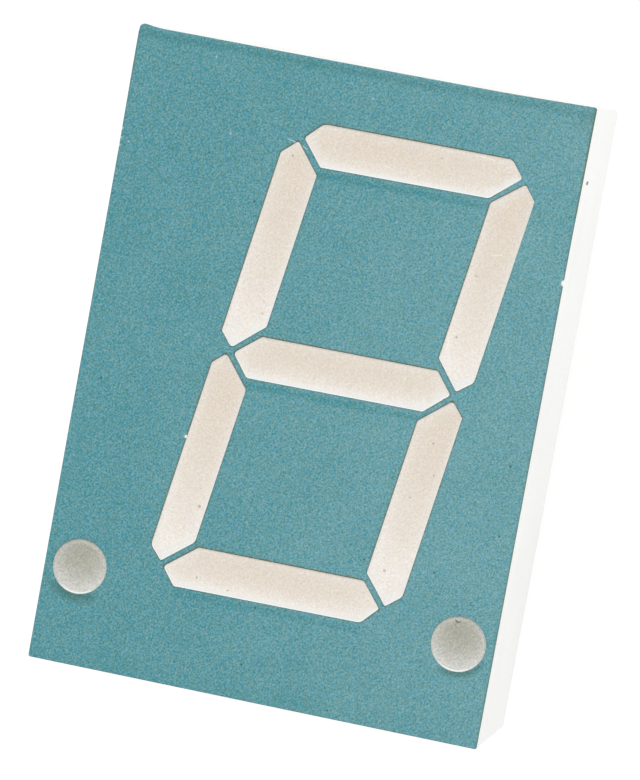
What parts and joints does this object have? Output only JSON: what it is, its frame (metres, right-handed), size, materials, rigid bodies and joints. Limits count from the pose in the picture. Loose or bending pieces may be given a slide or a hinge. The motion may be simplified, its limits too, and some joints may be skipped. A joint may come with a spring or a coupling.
{
  "type": "seven segment display",
  "caption": "Through-hole LED digit display with a white case, teal face, seven slanted cream segments and a round point at each lower corner.",
  "frame": {"origin": "middle of the seating plane, which is the rear rim of the case; the pins reach below it", "axes": "+X to the digit's right, +Y to the top of the digit, +Z out of the face, so the display lies face up"},
  "size_m": [0.02, 0.0276, 0.0121],
  "materials": {
    "housing_white": "white moulded polycarbonate, satin",
    "face_teal": "matte grey-teal screen ink with a fine grain",
    "segment_cream": "milky cast epoxy, unlit, smooth",
    "point_grey": "milky cast epoxy, unlit, slightly greyer",
    "board_green": "glass-epoxy board with green solder mask",
    "copper": "etched copper foil",
    "chip_red": "LED die",
    "bond_gold": "gold bond wire",
    "pin_tin": "tinned steel wire pin",
    "solder": "solder, satin",
    "potting_clear": "pale epoxy potting"
  },
  "bodies": {
    "root": {"reflector_housing": "housing_white", "face_ink": "face_teal", "segment_a": "segment_cream", "segment_b": "segment_cream", "segment_c": "segment_cream", "segment_d": "segment_cream", "segment_e": "segment_cream", "segment_f": "segment_cream", "segment_g": "segment_cream", "point_left": "point_grey", "point_right": "point_grey", "circuit_board": "board_green", "front_copper": "copper", "rear_copper": "copper", "chip_a": "chip_red", "chip_b": "chip_red", "chip_c": "chip_red", "chip_d": "chip_red", "chip_e": "chip_red", "chip_f": "chip_red", "chip_g": "chip_red", "chip_left": "chip_red", "chip_right": "chip_red", "bond_wire_a": "bond_gold", "bond_wire_b": "bond_gold", "bond_wire_c": "bond_gold", "bond_wire_d": "bond_gold", "bond_wire_e": "bond_gold", "bond_wire_f": "bond_gold", "bond_wire_g": "bond_gold", "bond_wire_left": "bond_gold", "bond_wire_right": "bond_gold", "pin_02": "pin_tin", "pin_15": "pin_tin", "pin_13": "pin_tin", "pin_11": "pin_tin", "pin_05": "pin_tin", "pin_03": "pin_tin", "pin_14": "pin_tin", "pin_07": "pin_tin", "pin_10": "pin_tin", "pin_04": "pin_tin", "pin_06": "pin_tin", "pin_12": "pin_tin", "pin_17": "pin_tin", "solder_joints": "solder", "rear_potting": "potting_clear"}
  },
  "joints": []
}
